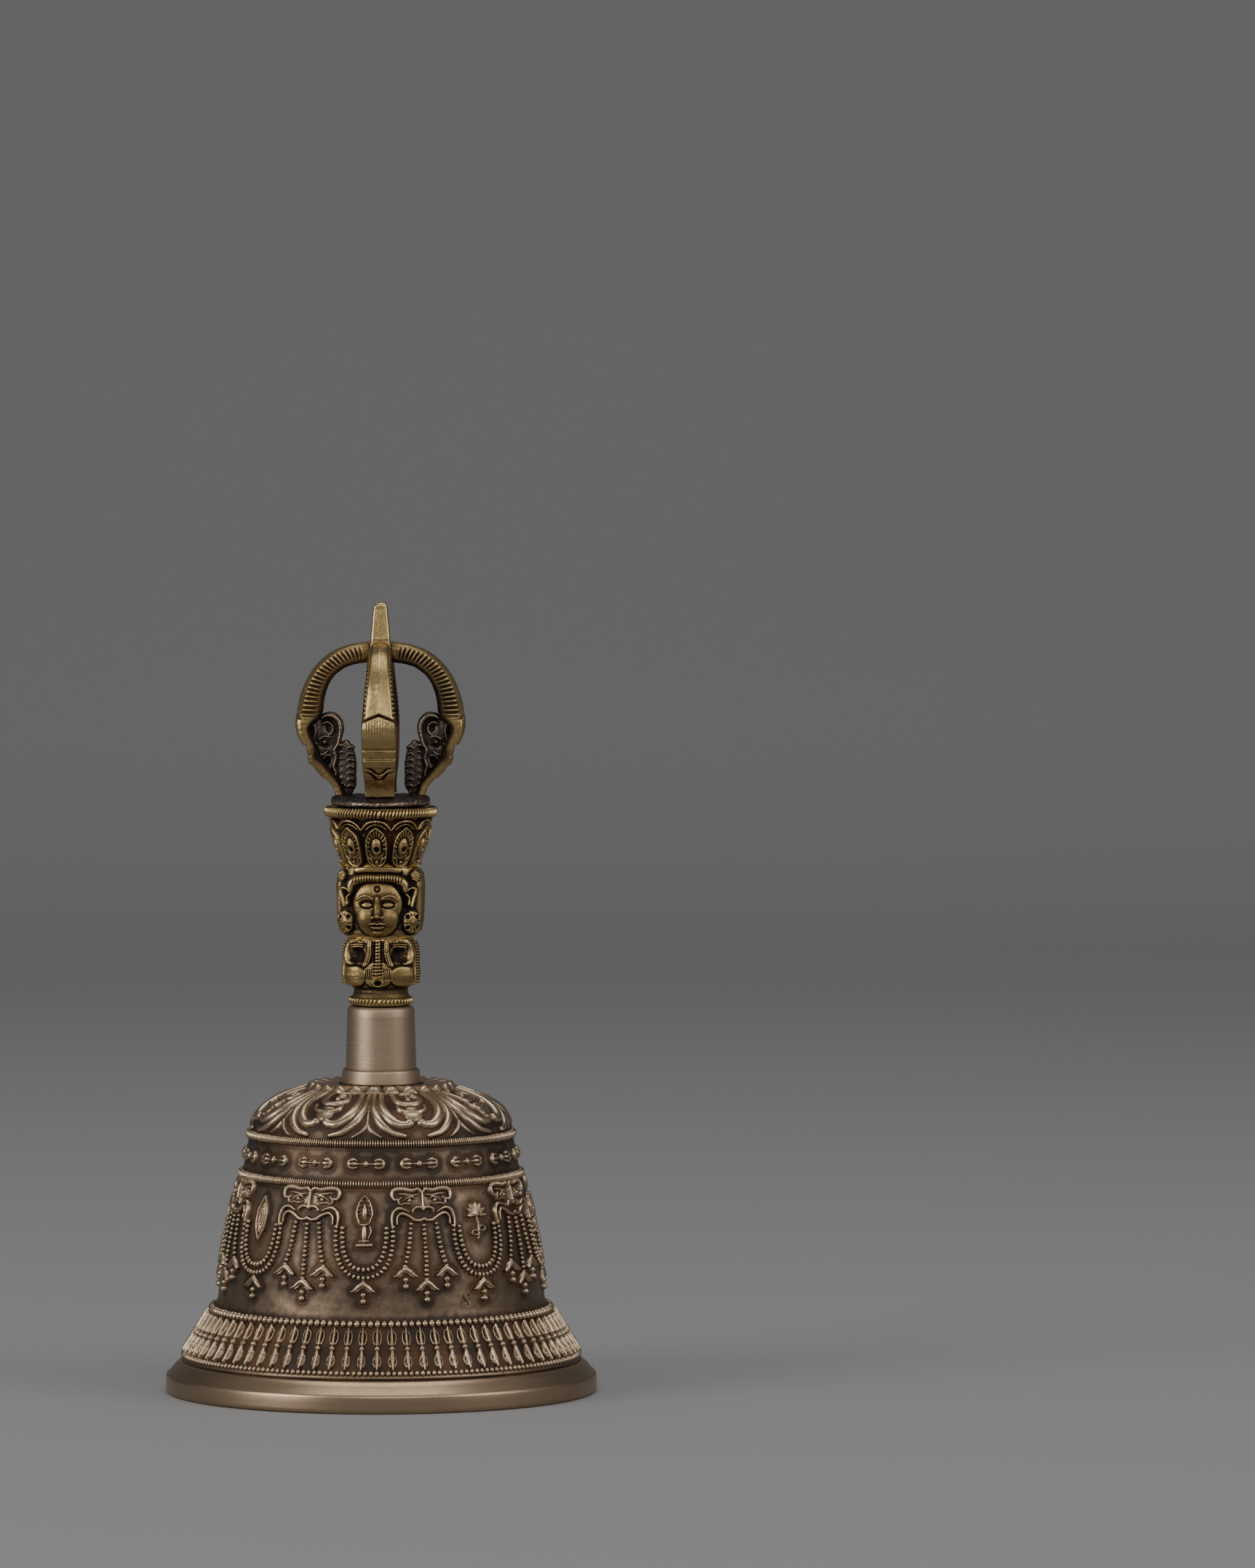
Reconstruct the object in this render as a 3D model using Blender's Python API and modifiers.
"""Hand bell of the Tibetan kind, with a half-vajra handle, modelled as the pieces it comes apart into.

Metres, +Z up. The origin is the centre of the mouth, in the plane of the rim that the bell stands on.
A long eye bolt screws up through the crown, the neck ring and the neck sleeve into the brass grip and
clamps them together; its eye carries a link, and the link carries the clapper.
"""

import math

import bmesh
import bpy

MM = 0.001

# Clearances
SEAT_GAP = 0.3 * MM  # between faces that rest on each other
BORE_GAP = 0.3 * MM  # around a shank in its hole
EYE_PLAY = 1.0 * MM  # between the link's sides and the bolt's eye
LINK_PLAY = 0.4 * MM  # between the link's sides and what hangs in it
CLAPPER_EYE_PLAY = 0.6 * MM  # between the link and the far side of the clapper's eye
SWING_CLEARANCE = 0.4 * MM  # between the two eyes as they turn in the link

# Shell: heights of its zones, from the rim upwards
LIP_BAND_HEIGHT = 4.2 * MM
SHOULDER_HEIGHT = 3.4 * MM
FENCE_HEIGHT = 12.9 * MM
WAIST_HEIGHT = 27.3 * MM
VAJRA_BAND_HEIGHT = 10.4 * MM
DOME_HEIGHT = 11.2 * MM

# Shell: outside radii at the zones' borders
LIP_RADIUS = 48.75 * MM
SKIRT_RADIUS = 45.3 * MM
FENCE_MIDDLE_RADIUS = 41.1 * MM
WAIST_FOOT_RADIUS = 36.9 * MM
WAIST_MIDDLE_RADIUS = 35.0 * MM
WAIST_TOP_RADIUS = 31.7 * MM
DOME_RADIUS = 29.4 * MM
NECK_SEAT_MARGIN = 1.05 * MM  # of the flat seat, outside the neck ring
DOME_FULLNESS = 2.3  # 2 is an ellipse; more is fuller at the shoulder

# Shell: walls
LIP_WALL = 5.4 * MM
FENCE_WALL = 3.4 * MM
WAIST_WALL = 2.5 * MM
CROWN_THICKNESS = 3.0 * MM
LIP_CHAMFER = 0.4 * MM

# Eye bolt with its washer and nut
BOLT_RADIUS = 3.0 * MM
BOLT_DEPTH_IN_GRIP = 13.0 * MM
EYE_WIRE_RADIUS = 1.3 * MM
EYE_TO_NUT = 0.4 * MM
WASHER_RADIUS = 7.5 * MM
WASHER_MARGIN = 0.6 * MM  # of the crown's flat inside, outside the washer
WASHER_THICKNESS = 1.2 * MM
NUT_ACROSS_CORNERS = 11.5 * MM
NUT_THICKNESS = 3.6 * MM

# Link and clapper
LINK_WIRE_RADIUS = 0.9 * MM
CLAPPER_WIRE_RADIUS = 1.1 * MM
CLAPPER_SHANK_RADIUS = 1.6 * MM
CLAPPER_COLLAR_RADIUS = 2.6 * MM
CLAPPER_COLLAR_HEIGHT = 1.1 * MM
BALL_RADIUS = 6.5 * MM
BALL_HEIGHT = 9.5 * MM  # of its centre, over the rim's plane

# Neck ring and neck sleeve
RING_HEIGHT = 3.3 * MM
RING_RIM_WALL = 0.4 * MM
RING_TAPER = 0.3 * MM
RING_POCKET_DEPTH = 1.4 * MM
SLEEVE_LENGTH = 15.4 * MM
SLEEVE_FOOT_RADIUS = 8.0 * MM
SLEEVE_TOP_RADIUS = 7.6 * MM
SLEEVE_BEVEL = 0.6 * MM
SPIGOT_RADIUS = 5.0 * MM
SPIGOT_LENGTH = 2.8 * MM

# Grip: foot, vase block, head block and crown, from the bottom up
FOOT_RADIUS = 7.15 * MM
FOOT_RIM_HEIGHT = 1.3 * MM
FOOT_WAIST_RADIUS = 6.0 * MM
FOOT_HEIGHT = 3.6 * MM
VASE_WIDTH = 17.4 * MM
VASE_DEPTH = 14.4 * MM
VASE_HEIGHT = 11.4 * MM
HEAD_WIDTH = 19.6 * MM
HEAD_DEPTH = 16.0 * MM
HEAD_HEIGHT = 17.5 * MM
CROWN_FOOT_RADIUS = 8.2 * MM
CROWN_LEAF_INSET = 0.6 * MM  # of the leaves' line, inside the crown's top edge
CROWN_LEDGE = 1.0 * MM
CROWN_HEIGHT = 10.0 * MM
ROPE_SEAT_RADIUS = 10.7 * MM
ROPE_WIRE_RADIUS = 0.95 * MM

# Half vajra on the crown
BASE_OVERHANG = 0.7 * MM  # over the rope's seat
BASE_MARGIN = 0.8 * MM  # outside the prongs' feet
BASE_THICKNESS = 2.4 * MM
TENON_RADIUS = 2.5 * MM
TENON_DEPTH = 7.0 * MM
CAGE_RADIUS = 18.9 * MM
CAGE_EQUATOR = 15.7 * MM  # height of the widest place over the base
CAGE_HEIGHT = 33.9 * MM
PRONG_HEAD_INNER = 5.5 * MM
PRONG_HEAD_HEIGHT = 10.6 * MM
PRONG_BROW_INNER = 8.8 * MM
PRONG_BROW_HEIGHT = 17.3 * MM
PRONG_ARCH_INNER = 12.8 * MM
PRONG_ARCH_DEPTH = 4.0 * MM
PRONG_FOOT_WIDTH = 7.0 * MM
PRONG_TIP_WIDTH = 4.4 * MM
HUB_HALF_WIDTH = 2.3 * MM
SPIKE_HALF_WIDTH = 1.55 * MM
SPIKE_LENGTH = 9.4 * MM

# Fits, worked out from the sizes above
EYE_RING_RADIUS = EYE_WIRE_RADIUS + LINK_WIRE_RADIUS + EYE_PLAY
LINK_END_RADIUS = max(EYE_WIRE_RADIUS, CLAPPER_WIRE_RADIUS) + LINK_WIRE_RADIUS + LINK_PLAY
CLAPPER_EYE_RADIUS = LINK_WIRE_RADIUS + CLAPPER_WIRE_RADIUS + CLAPPER_EYE_PLAY
CLAPPER_EYE_REACH = LINK_WIRE_RADIUS + SEAT_GAP + 2 * CLAPPER_WIRE_RADIUS
CLAPPER_EYE_SWEEP = CLAPPER_EYE_REACH + CLAPPER_EYE_PLAY
EYE_TO_LINK_TOP = EYE_WIRE_RADIUS + SEAT_GAP + LINK_WIRE_RADIUS
LINK_LENGTH = EYE_TO_LINK_TOP + EYE_WIRE_RADIUS + SWING_CLEARANCE + CLAPPER_EYE_SWEEP
LINK_STRAIGHT = LINK_LENGTH - 2 * LINK_END_RADIUS
RING_POCKET_RADIUS = SLEEVE_FOOT_RADIUS + BORE_GAP
RING_TOP_RADIUS = RING_POCKET_RADIUS + RING_RIM_WALL
RING_FOOT_RADIUS = RING_TOP_RADIUS + RING_TAPER
NECK_SEAT_RADIUS = RING_FOOT_RADIUS + NECK_SEAT_MARGIN
CROWN_TOP_RADIUS = ROPE_SEAT_RADIUS + CROWN_LEDGE
ROPE_SEAT_HEIGHT = SEAT_GAP + 2 * ROPE_WIRE_RADIUS
BASE_RADIUS = ROPE_SEAT_RADIUS + BASE_OVERHANG
PRONG_FOOT_OUTER = BASE_RADIUS - BASE_MARGIN
BOLT_HOLE_RADIUS = BOLT_RADIUS + BORE_GAP

# Levels, worked out from the sizes above
SHOULDER_TOP_Z = LIP_BAND_HEIGHT + SHOULDER_HEIGHT
FENCE_TOP_Z = SHOULDER_TOP_Z + FENCE_HEIGHT
WAIST_TOP_Z = FENCE_TOP_Z + WAIST_HEIGHT
DOME_FOOT_Z = WAIST_TOP_Z + VAJRA_BAND_HEIGHT
SHELL_TOP_Z = DOME_FOOT_Z + DOME_HEIGHT
CROWN_INSIDE_Z = SHELL_TOP_Z - CROWN_THICKNESS
WASHER_TOP_Z = CROWN_INSIDE_Z - SEAT_GAP
NUT_TOP_Z = WASHER_TOP_Z - WASHER_THICKNESS - SEAT_GAP
EYE_CENTRE_Z = NUT_TOP_Z - NUT_THICKNESS - EYE_TO_NUT - EYE_RING_RADIUS - EYE_WIRE_RADIUS
EYE_SADDLE_Z = EYE_CENTRE_Z - EYE_RING_RADIUS
LINK_TOP_Z = EYE_SADDLE_Z + EYE_TO_LINK_TOP
LINK_SADDLE_Z = LINK_TOP_Z - LINK_LENGTH
CLAPPER_EYE_Z = LINK_SADDLE_Z + CLAPPER_EYE_REACH - CLAPPER_WIRE_RADIUS - CLAPPER_EYE_RADIUS
RING_FOOT_Z = SHELL_TOP_Z + SEAT_GAP
RING_TOP_Z = RING_FOOT_Z + RING_HEIGHT
SLEEVE_FOOT_Z = RING_TOP_Z - RING_POCKET_DEPTH + SEAT_GAP
SLEEVE_TOP_Z = SLEEVE_FOOT_Z + SLEEVE_LENGTH
GRIP_FOOT_Z = SLEEVE_TOP_Z + SEAT_GAP
VASE_FOOT_Z = GRIP_FOOT_Z + FOOT_HEIGHT
HEAD_FOOT_Z = VASE_FOOT_Z + VASE_HEIGHT
CROWN_FOOT_Z = HEAD_FOOT_Z + HEAD_HEIGHT
ROPE_SEAT_Z = CROWN_FOOT_Z + CROWN_HEIGHT
GRIP_TOP_Z = ROPE_SEAT_Z + ROPE_SEAT_HEIGHT
BASE_FOOT_Z = GRIP_TOP_Z + SEAT_GAP
BASE_TOP_Z = BASE_FOOT_Z + BASE_THICKNESS
CAGE_TOP_Z = BASE_TOP_Z + SEAT_GAP + CAGE_HEIGHT

ROUND_STEPS = 48
SMALL_STEPS = 24
CUTTER_MARGIN = 1.0 * MM

PRONG_SIDES = {"right": 0.0, "back": 90.0, "left": 180.0, "front": 270.0}


def clear_scene():
    """Removes the objects that the file opened with."""
    for obj in list(bpy.data.objects):
        bpy.data.objects.remove(obj, do_unlink=True)


def new_collection(name):
    collection = bpy.data.collections.new(name)
    bpy.context.scene.collection.children.link(collection)
    return collection


def new_metal(name, colour, roughness):
    """A plain metal with the piece's colour and roughness."""
    material = bpy.data.materials.new(name)
    material.use_nodes = True
    shader = material.node_tree.nodes["Principled BSDF"]
    shader.inputs["Base Color"].default_value = (*colour, 1.0)
    shader.inputs["Metallic"].default_value = 1.0
    shader.inputs["Roughness"].default_value = roughness
    return material


def add_object(name, data, collection, material=None):
    obj = bpy.data.objects.new(name, data)
    collection.objects.link(obj)
    if material is not None:
        data.materials.append(material)
    return obj


def smooth(obj, angle=35.0):
    """Shades a round piece smooth, with its edges kept sharp."""
    obj.data.shade_smooth()
    obj.data.set_sharp_from_angle(angle=math.radians(angle))


def arc(centre, radii, start, end, count):
    """Points of an elliptical arc in the XZ plane, from start to end in degrees."""
    angles = [math.radians(start + (end - start) * i / (count - 1)) for i in range(count)]
    return [(centre[0] + radii[0] * math.cos(a), centre[1] + radii[1] * math.sin(a)) for a in angles]


def between(before, start, end, after, t):
    """A value on the Catmull-Rom line from start to end, with the values before and after them."""
    slope = end - before
    bend = 2 * before - 5 * start + 4 * end - after
    twist = 3 * start - before - 3 * end + after
    return 0.5 * (2 * start + slope * t + bend * t**2 + twist * t**3)


def through(stations, per_span):
    """A smooth line through the stations, with per_span points to each span."""
    ends = [stations[0], *stations, stations[-1]]
    line = []
    for i in range(len(stations) - 1):
        for step in range(per_span):
            line.append(tuple(between(*values, step / per_span) for values in zip(*ends[i : i + 4])))
    return [*line, stations[-1]]


def turned(name, section, collection, material, steps=ROUND_STEPS, closed=True):
    """A turned solid: (radius, height) points run down the outside and, for a ring, up the bore."""
    count = len(section)
    edges = [(i, i + 1) for i in range(count - 1)]
    if closed:
        edges.append((count - 1, 0))
    mesh = bpy.data.meshes.new(name)
    mesh.from_pydata([(radius, 0.0, height) for radius, height in section], edges, [])
    obj = add_object(name, mesh, collection, material)
    screw = obj.modifiers.new("turn", "SCREW")
    screw.axis = "Z"
    screw.angle = math.tau
    screw.steps = steps
    screw.render_steps = steps
    screw.use_merge_vertices = True
    screw.merge_threshold = 1e-5
    screw.use_smooth_shade = True
    return obj


def primitive(name, make, collection, material=None):
    """An object from a bmesh primitive: make(bm) adds the shape."""
    mesh = bpy.data.meshes.new(name)
    bm = bmesh.new()
    make(bm)
    bm.to_mesh(mesh)
    bm.free()
    return add_object(name, mesh, collection, material)


def cylinder(name, radius, low, high, collection, material=None, steps=SMALL_STEPS, top_radius=None):
    """An upright cylinder, cone or, with few steps, prism between two heights."""

    def make(bm):
        bmesh.ops.create_cone(
            bm,
            cap_ends=True,
            segments=steps,
            radius1=radius,
            radius2=radius if top_radius is None else top_radius,
            depth=high - low,
        )

    obj = primitive(name, make, collection, material)
    obj.location.z = (low + high) / 2
    return obj


def rounded_block(name, width, depth, low, high, bevel, collection):
    """A box with rounded edges between two heights."""
    obj = primitive(name, lambda bm: bmesh.ops.create_cube(bm, size=1.0), collection)
    for vertex in obj.data.vertices:
        vertex.co.x *= width
        vertex.co.y *= depth
        vertex.co.z *= high - low
    obj.location.z = (low + high) / 2
    rounding = obj.modifiers.new("rounding", "BEVEL")
    rounding.width = bevel
    rounding.segments = 3
    return obj


def torus(name, ring, wire, height, collection, material=None, upright=False, steps=SMALL_STEPS):
    """A ring of round wire, lying flat or standing in the XZ plane."""
    section = arc((ring, 0.0), (wire, wire), 90.0, -270.0, 11)[:-1]
    obj = turned(name, section, collection, material, steps)
    obj.location.z = height
    if upright:
        obj.rotation_euler.x = math.pi / 2
    return obj


def helper(obj):
    """Keeps a cutter or a joined-in shape out of the model itself."""
    obj.hide_render = True
    obj.display_type = "WIRE"
    return obj


def combine(obj, other, operation):
    boolean = obj.modifiers.new(operation.lower(), "BOOLEAN")
    boolean.operation = operation
    boolean.solver = "EXACT"
    boolean.object = helper(other)


def shell_stations():
    """Outside radius, height and wall of the shell at its stations, from the rim upwards."""
    fence_middle = SHOULDER_TOP_Z + FENCE_HEIGHT * 0.5
    waist_middle = FENCE_TOP_Z + WAIST_HEIGHT * 0.5
    return [
        (SKIRT_RADIUS, SHOULDER_TOP_Z, (LIP_WALL + FENCE_WALL) / 2),
        (FENCE_MIDDLE_RADIUS, fence_middle, FENCE_WALL),
        (WAIST_FOOT_RADIUS, FENCE_TOP_Z, WAIST_WALL),
        (WAIST_MIDDLE_RADIUS, waist_middle, WAIST_WALL),
        (WAIST_TOP_RADIUS, WAIST_TOP_Z, WAIST_WALL),
        (DOME_RADIUS, DOME_FOOT_Z, WAIST_WALL),
    ]


def dome(radius, foot, height, inner_radius, count=6):
    """The dome's line from its foot up to inner_radius."""
    line = []
    lowest = (1 - (inner_radius / radius) ** DOME_FULLNESS) ** (1 / DOME_FULLNESS)
    for i in range(1, count + 1):
        turn = i / count * math.pi / 2
        rise = lowest * math.sin(turn)
        reach = (1 - rise**DOME_FULLNESS) ** (1 / DOME_FULLNESS)
        line.append((radius * reach, foot + height * rise / lowest))
    return line


def build_shell(parts, bronze):
    """The cast bell, open below, with a flat seat for the neck ring and a hole for the bolt."""
    stations = shell_stations()
    outside = through([(radius, height) for radius, height, _ in stations], 2)
    inside = through([(radius - wall, height) for radius, height, wall in stations], 2)
    over = dome(DOME_RADIUS, DOME_FOOT_Z, DOME_HEIGHT, NECK_SEAT_RADIUS)
    under = dome(
        DOME_RADIUS - WAIST_WALL,
        DOME_FOOT_Z,
        DOME_HEIGHT - CROWN_THICKNESS,
        WASHER_RADIUS + WASHER_MARGIN,
    )
    section = [(BOLT_HOLE_RADIUS, SHELL_TOP_Z)]
    section += reversed(over)
    section += reversed(outside)
    section += [
        (LIP_RADIUS - LIP_CHAMFER, LIP_BAND_HEIGHT + LIP_CHAMFER),
        (LIP_RADIUS, LIP_BAND_HEIGHT - LIP_CHAMFER),
        (LIP_RADIUS, LIP_CHAMFER),
        (LIP_RADIUS - LIP_CHAMFER, 0.0),
        (LIP_RADIUS - LIP_WALL + LIP_CHAMFER, 0.0),
        (LIP_RADIUS - LIP_WALL, LIP_CHAMFER),
    ]
    section += inside
    section += under
    section += [(BOLT_HOLE_RADIUS, CROWN_INSIDE_Z)]
    turned("bell_shell", section, parts, bronze)


def build_neck(parts, bronze):
    """The ring on the crown, and the tapered sleeve that stands in its pocket."""
    pocket_floor = RING_TOP_Z - RING_POCKET_DEPTH
    turned(
        "neck_ring",
        [
            (RING_TOP_RADIUS, RING_TOP_Z),
            (RING_FOOT_RADIUS, RING_FOOT_Z),
            (BOLT_HOLE_RADIUS, RING_FOOT_Z),
            (BOLT_HOLE_RADIUS, pocket_floor),
            (RING_POCKET_RADIUS, pocket_floor),
            (RING_POCKET_RADIUS, RING_TOP_Z),
        ],
        parts,
        bronze,
    )
    socket_radius = SPIGOT_RADIUS + BORE_GAP
    socket_floor = SLEEVE_TOP_Z - SPIGOT_LENGTH - SEAT_GAP
    turned(
        "neck_sleeve",
        [
            (SLEEVE_TOP_RADIUS - SLEEVE_BEVEL, SLEEVE_TOP_Z),
            (SLEEVE_TOP_RADIUS, SLEEVE_TOP_Z - SLEEVE_BEVEL),
            (SLEEVE_FOOT_RADIUS, RING_TOP_Z + SEAT_GAP),
            (SLEEVE_FOOT_RADIUS, SLEEVE_FOOT_Z),
            (BOLT_HOLE_RADIUS, SLEEVE_FOOT_Z),
            (BOLT_HOLE_RADIUS, socket_floor),
            (socket_radius, socket_floor),
            (socket_radius, SLEEVE_TOP_Z),
        ],
        parts,
        bronze,
    )


def build_grip(parts, tools, brass):
    """The cast grip: foot, vase block, head block and crown in one piece.
    It is bored below for the bolt and above for the half vajra's tenon."""
    foot = [
        (0.0, VASE_FOOT_Z + VASE_HEIGHT / 2),
        (FOOT_WAIST_RADIUS, VASE_FOOT_Z + VASE_HEIGHT / 2),
        (FOOT_WAIST_RADIUS, GRIP_FOOT_Z + FOOT_RIM_HEIGHT * 2),
        (FOOT_RADIUS, GRIP_FOOT_Z + FOOT_RIM_HEIGHT),
        (FOOT_RADIUS, GRIP_FOOT_Z),
        (SPIGOT_RADIUS, GRIP_FOOT_Z),
        (SPIGOT_RADIUS, GRIP_FOOT_Z - SPIGOT_LENGTH),
        (0.0, GRIP_FOOT_Z - SPIGOT_LENGTH),
    ]
    grip = turned("handle_grip", foot, parts, brass, SMALL_STEPS, closed=False)
    crown = [
        (0.0, GRIP_TOP_Z),
        (ROPE_SEAT_RADIUS, GRIP_TOP_Z),
        (ROPE_SEAT_RADIUS, ROPE_SEAT_Z),
        (CROWN_TOP_RADIUS, ROPE_SEAT_Z),
        (CROWN_TOP_RADIUS - CROWN_LEAF_INSET, CROWN_FOOT_Z + CROWN_HEIGHT * 0.6),
        (CROWN_FOOT_RADIUS, CROWN_FOOT_Z + SEAT_GAP),
        (CROWN_FOOT_RADIUS, CROWN_FOOT_Z - HEAD_HEIGHT / 4),
        (0.0, CROWN_FOOT_Z - HEAD_HEIGHT / 4),
    ]
    vase_top = HEAD_FOOT_Z + HEAD_HEIGHT / 20
    joined = [
        rounded_block("vase_block", VASE_WIDTH, VASE_DEPTH, VASE_FOOT_Z, vase_top, VASE_DEPTH / 5, tools),
        rounded_block("head_block", HEAD_WIDTH, HEAD_DEPTH, HEAD_FOOT_Z, CROWN_FOOT_Z, HEAD_DEPTH / 4, tools),
        turned("crown_flare", crown, tools, None, SMALL_STEPS, closed=False),
    ]
    for shape in joined:
        combine(grip, shape, "UNION")
    bolt_bottom = GRIP_FOOT_Z - SPIGOT_LENGTH - CUTTER_MARGIN
    bolt_top = GRIP_FOOT_Z + BOLT_DEPTH_IN_GRIP + SEAT_GAP
    bolt_bore = cylinder("bolt_bore", BOLT_HOLE_RADIUS, bolt_bottom, bolt_top, tools)
    tenon_bore = cylinder(
        "tenon_bore",
        TENON_RADIUS + BORE_GAP,
        GRIP_TOP_Z - TENON_DEPTH - SEAT_GAP,
        GRIP_TOP_Z + CUTTER_MARGIN,
        tools,
    )
    combine(grip, bolt_bore, "DIFFERENCE")
    combine(grip, tenon_bore, "DIFFERENCE")


def build_rope_ring(parts, brass):
    """The ring of twisted wire that lies in the seat round the crown's top."""
    ring_radius = ROPE_SEAT_RADIUS + BORE_GAP + ROPE_WIRE_RADIUS
    height = ROPE_SEAT_Z + SEAT_GAP + ROPE_WIRE_RADIUS
    torus("crown_rope_ring", ring_radius, ROPE_WIRE_RADIUS, height, parts, brass, steps=ROUND_STEPS)


def build_vajra_base(parts, brass):
    """The plate that the prongs stand on."""
    bore = TENON_RADIUS + BORE_GAP
    edge = BASE_THICKNESS / 3
    turned(
        "vajra_base",
        [
            (BASE_RADIUS - edge / 2, BASE_TOP_Z),
            (BASE_RADIUS, BASE_TOP_Z - edge / 2),
            (BASE_RADIUS, BASE_FOOT_Z + edge),
            (BASE_RADIUS - edge, BASE_FOOT_Z),
            (bore, BASE_FOOT_Z),
            (bore, BASE_TOP_Z),
        ],
        parts,
        brass,
    )


def build_centre_prong(parts, tools, brass):
    """The middle prong: tenon in the grip, rod through the cage, square hub and spike."""
    hub_low = CAGE_TOP_Z - PRONG_ARCH_DEPTH - SEAT_GAP
    hub_high = CAGE_TOP_Z
    square = math.sqrt(2)  # a four-sided cone's radius is its half-diagonal
    tenon_low = GRIP_TOP_Z - TENON_DEPTH
    prong = cylinder("centre_prong", TENON_RADIUS, tenon_low, hub_low + SEAT_GAP / 2, parts, brass)
    hub = cylinder("hub", HUB_HALF_WIDTH * square, hub_low, hub_high, tools, steps=4)
    spike = cylinder(
        "spike",
        HUB_HALF_WIDTH * square,
        hub_high - SEAT_GAP,
        hub_high + SPIKE_LENGTH,
        tools,
        steps=4,
        top_radius=SPIKE_HALF_WIDTH * square,
    )
    for shape in (hub, spike):
        shape.rotation_euler.z = math.pi / 4
        combine(prong, shape, "UNION")


def prong_outline():
    """Side view of an outer prong: up the back, over the arch, and down past the beast's head."""
    foot = BASE_TOP_Z + SEAT_GAP
    equator = foot + CAGE_EQUATOR
    tip = HUB_HALF_WIDTH + SEAT_GAP
    back = [
        (PRONG_FOOT_OUTER, foot),
        (CAGE_RADIUS * 0.87, foot + CAGE_EQUATOR * 0.55),
        (CAGE_RADIUS * 0.92, foot + CAGE_EQUATOR * 0.76),
        (CAGE_RADIUS, equator),
    ]
    outer_arch = arc((tip, equator), (CAGE_RADIUS - tip, CAGE_TOP_Z - equator), 0.0, 90.0, 13)[1:]
    brow = foot + PRONG_BROW_HEIGHT
    inner_top = CAGE_TOP_Z - PRONG_ARCH_DEPTH
    inner_arch = arc((tip, brow), (PRONG_ARCH_INNER - tip, inner_top - brow), 90.0, 0.0, 10)
    head = foot + PRONG_HEAD_HEIGHT
    front = [
        (PRONG_BROW_INNER, brow),
        (PRONG_BROW_INNER, head),
        (PRONG_HEAD_INNER, head - CAGE_EQUATOR * 0.07),
        (PRONG_HEAD_INNER, foot + CAGE_EQUATOR * 0.1),
        (PRONG_HEAD_INNER + CAGE_EQUATOR * 0.07, foot),
    ]
    return back + outer_arch + inner_arch + front


def build_prongs(parts, brass):
    """The four outer prongs: one outline, extruded, narrowed towards its tip, and set round the axis."""
    flat = bpy.data.curves.new("prong_outline", "CURVE")
    flat.dimensions = "2D"
    flat.fill_mode = "BOTH"
    flat.extrude = PRONG_FOOT_WIDTH / 2
    outline = prong_outline()
    spline = flat.splines.new("POLY")
    spline.points.add(len(outline) - 1)
    for point, (radius, height) in zip(spline.points, outline):
        point.co = (radius, height, 0.0, 1.0)
    spline.use_cyclic_u = True
    pattern = add_object("prong_pattern", flat, parts)
    graph = bpy.context.evaluated_depsgraph_get()
    mesh = bpy.data.meshes.new_from_object(pattern.evaluated_get(graph))
    bpy.data.objects.remove(pattern)
    bm = bmesh.new()
    bm.from_mesh(mesh)
    bmesh.ops.remove_doubles(bm, verts=bm.verts, dist=1e-6)
    narrowing_from = BASE_TOP_Z + SEAT_GAP + CAGE_EQUATOR
    for vertex in bm.verts:
        radius, height, side = vertex.co
        rise = max(0.0, (height - narrowing_from) / (CAGE_TOP_Z - narrowing_from))
        width = PRONG_FOOT_WIDTH + (PRONG_TIP_WIDTH - PRONG_FOOT_WIDTH) * rise**1.5
        width = min(width, 2 * (radius - SEAT_GAP))
        vertex.co = (radius, -side * width / PRONG_FOOT_WIDTH, height)
    bm.to_mesh(mesh)
    bm.free()
    mesh.materials.clear()
    mesh.materials.append(brass)
    for side, turn in PRONG_SIDES.items():
        prong = add_object(f"prong_{side}", mesh, parts)
        prong.rotation_euler.z = math.radians(turn)


def build_eye_bolt(parts, tools, iron):
    """The long bolt that clamps the handle to the shell, with the eye that carries the clapper's link."""
    top = GRIP_FOOT_Z + BOLT_DEPTH_IN_GRIP
    bolt = cylinder("eye_bolt", BOLT_RADIUS, EYE_CENTRE_Z + EYE_RING_RADIUS, top, parts, iron)
    eye = torus("bolt_eye", EYE_RING_RADIUS, EYE_WIRE_RADIUS, EYE_CENTRE_Z, tools, upright=True)
    combine(bolt, eye, "UNION")


def build_bolt_fittings(parts, tools, iron):
    """The washer under the crown, and the lock nut under the washer."""
    turned(
        "crown_washer",
        [
            (WASHER_RADIUS, WASHER_TOP_Z),
            (WASHER_RADIUS, WASHER_TOP_Z - WASHER_THICKNESS),
            (BOLT_HOLE_RADIUS, WASHER_TOP_Z - WASHER_THICKNESS),
            (BOLT_HOLE_RADIUS, WASHER_TOP_Z),
        ],
        parts,
        iron,
        SMALL_STEPS,
    )
    nut_bottom = NUT_TOP_Z - NUT_THICKNESS
    nut = cylinder("lock_nut", NUT_ACROSS_CORNERS / 2, nut_bottom, NUT_TOP_Z, parts, iron, steps=6)
    nut_bore = cylinder(
        "nut_bore", BOLT_HOLE_RADIUS, nut_bottom - CUTTER_MARGIN, NUT_TOP_Z + CUTTER_MARGIN, tools
    )
    combine(nut, nut_bore, "DIFFERENCE")


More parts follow.
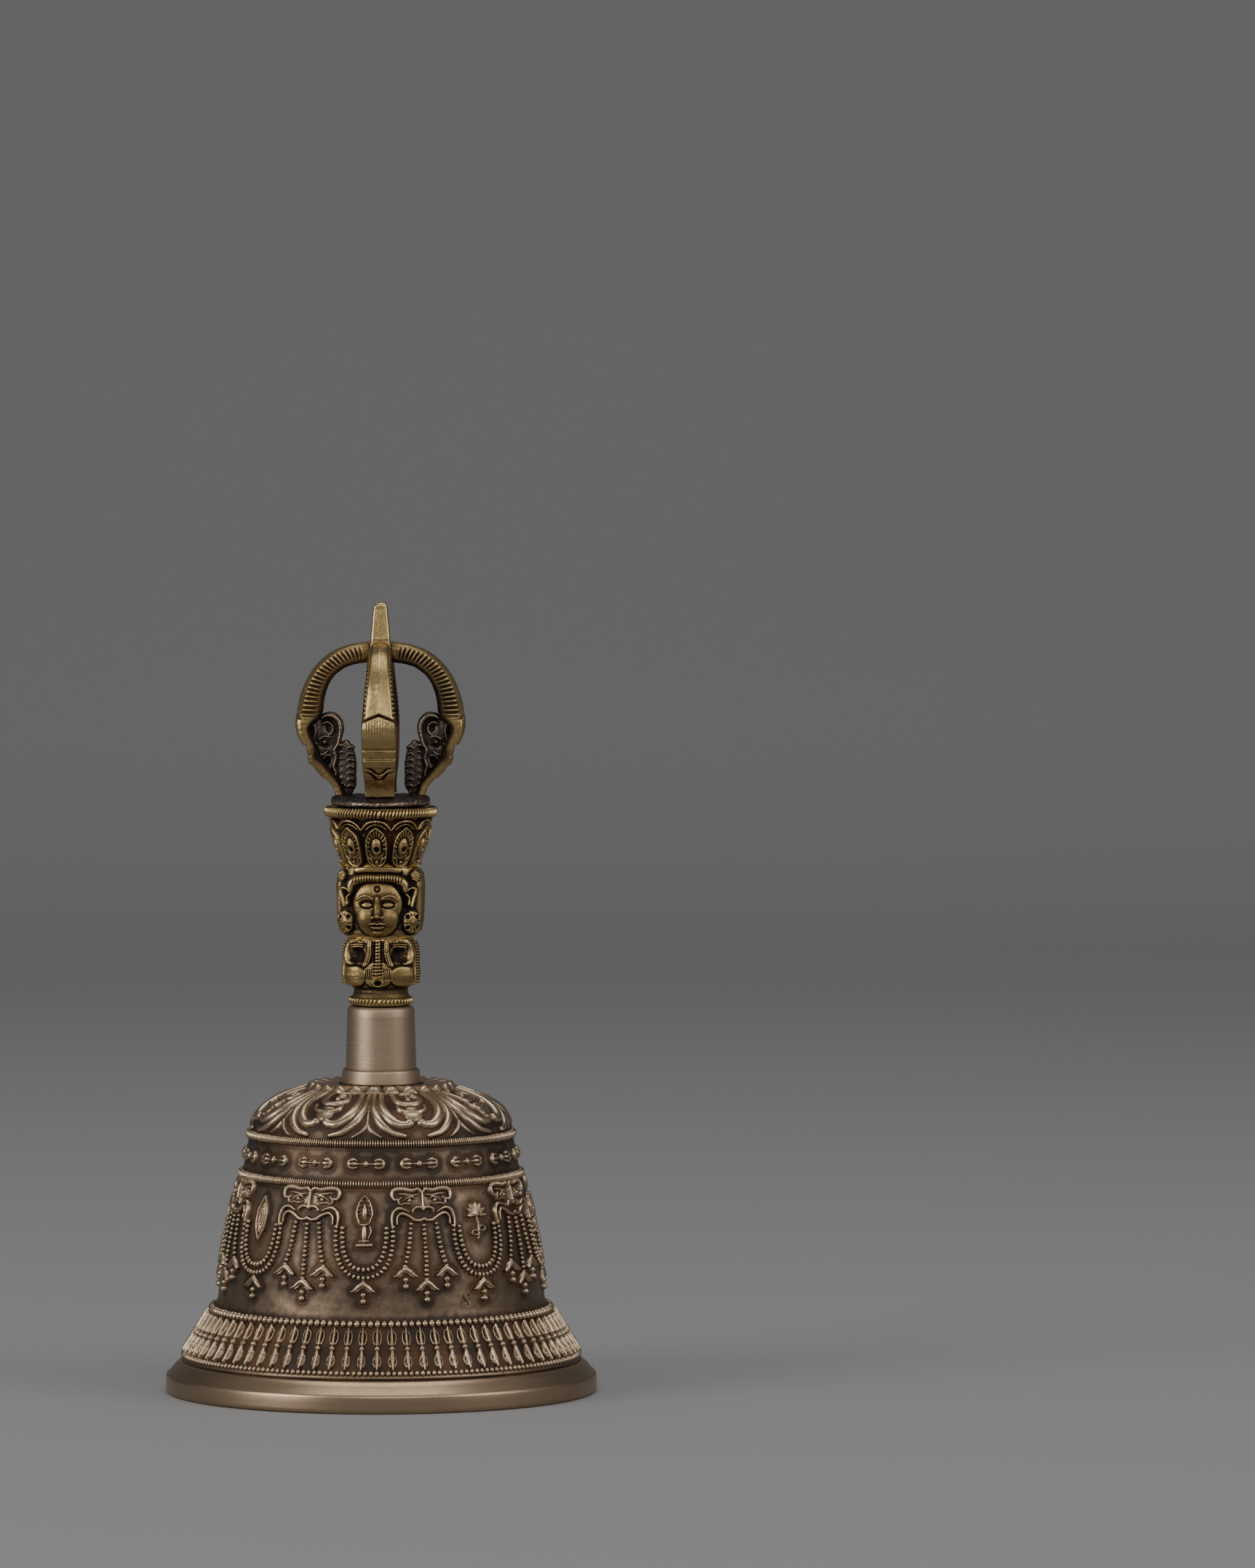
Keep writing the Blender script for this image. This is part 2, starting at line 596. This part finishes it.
def build_link(parts, iron):
    """The long link in the YZ plane, hung in the bolt's eye.
    Its origin is on its swing axis, the middle of the eye's lowest wire."""
    ends = LINK_STRAIGHT / 2
    centre_z = (LINK_TOP_Z + LINK_SADDLE_Z) / 2 - EYE_SADDLE_Z
    upper = arc((0.0, centre_z + ends), (LINK_END_RADIUS, LINK_END_RADIUS), 0.0, 180.0, 13)
    lower = arc((0.0, centre_z - ends), (LINK_END_RADIUS, LINK_END_RADIUS), 180.0, 360.0, 13)
    wire = bpy.data.curves.new("clapper_link", "CURVE")
    wire.dimensions = "3D"
    wire.bevel_depth = LINK_WIRE_RADIUS
    wire.bevel_resolution = 3
    spline = wire.splines.new("POLY")
    spline.points.add(len(upper + lower) - 1)
    for point, (across, height) in zip(spline.points, upper + lower):
        point.co = (0.0, across, height, 1.0)
    spline.use_cyclic_u = True
    link = add_object("clapper_link", wire, parts, iron)
    link.location.z = EYE_SADDLE_Z


def build_clapper(parts, tools, iron, ball_metal):
    """The clapper: a forged shank with an eye above, and a bored ball between a collar and the riveted end.
    Both have their origins on the swing axis, the middle of the link's lowest wire."""
    ball_bore = CLAPPER_SHANK_RADIUS + BORE_GAP
    half_bore = math.sqrt(BALL_RADIUS**2 - ball_bore**2)
    centre = BALL_HEIGHT - LINK_SADDLE_Z
    collar_low = centre + half_bore + SEAT_GAP
    rivet_top = centre - half_bore - SEAT_GAP
    eye_bottom = CLAPPER_EYE_Z - CLAPPER_EYE_RADIUS - LINK_SADDLE_Z
    shank = turned(
        "clapper_shank",
        [
            (0.0, eye_bottom),
            (CLAPPER_SHANK_RADIUS, eye_bottom),
            (CLAPPER_SHANK_RADIUS, collar_low + CLAPPER_COLLAR_HEIGHT),
            (CLAPPER_COLLAR_RADIUS, collar_low + CLAPPER_COLLAR_HEIGHT / 2),
            (CLAPPER_COLLAR_RADIUS, collar_low),
            (CLAPPER_SHANK_RADIUS, collar_low),
            (CLAPPER_SHANK_RADIUS, rivet_top),
            (CLAPPER_COLLAR_RADIUS, rivet_top),
            (CLAPPER_SHANK_RADIUS, rivet_top - CLAPPER_COLLAR_HEIGHT / 2),
            (0.0, rivet_top - CLAPPER_COLLAR_HEIGHT / 2),
        ],
        parts,
        iron,
        SMALL_STEPS,
        closed=False,
    )
    shank.location.z = LINK_SADDLE_Z
    eye = torus("clapper_eye", CLAPPER_EYE_RADIUS, CLAPPER_WIRE_RADIUS, CLAPPER_EYE_Z, tools, upright=True)
    combine(shank, eye, "UNION")
    edge = math.degrees(math.acos(ball_bore / BALL_RADIUS))
    ball = turned(
        "clapper_ball",
        arc((0.0, centre), (BALL_RADIUS, BALL_RADIUS), edge, -edge, 13),
        parts,
        ball_metal,
        SMALL_STEPS,
    )
    ball.location.z = LINK_SADDLE_Z


def main():
    clear_scene()
    parts = new_collection("tibetan_bell")
    tools = new_collection("cutters_and_joined_shapes")
    bronze = new_metal("bell_bronze", (0.36, 0.27, 0.19), 0.38)
    turned_bronze = new_metal("turned_bronze", (0.42, 0.34, 0.27), 0.3)
    brass = new_metal("cast_brass", (0.44, 0.32, 0.12), 0.34)
    iron = new_metal("forged_iron", (0.12, 0.11, 0.10), 0.5)
    build_shell(parts, bronze)
    build_neck(parts, turned_bronze)
    build_grip(parts, tools, brass)
    build_rope_ring(parts, brass)
    build_vajra_base(parts, brass)
    build_centre_prong(parts, tools, brass)
    build_prongs(parts, brass)
    build_eye_bolt(parts, tools, iron)
    build_bolt_fittings(parts, tools, iron)
    build_link(parts, iron)
    build_clapper(parts, tools, iron, iron)


main()
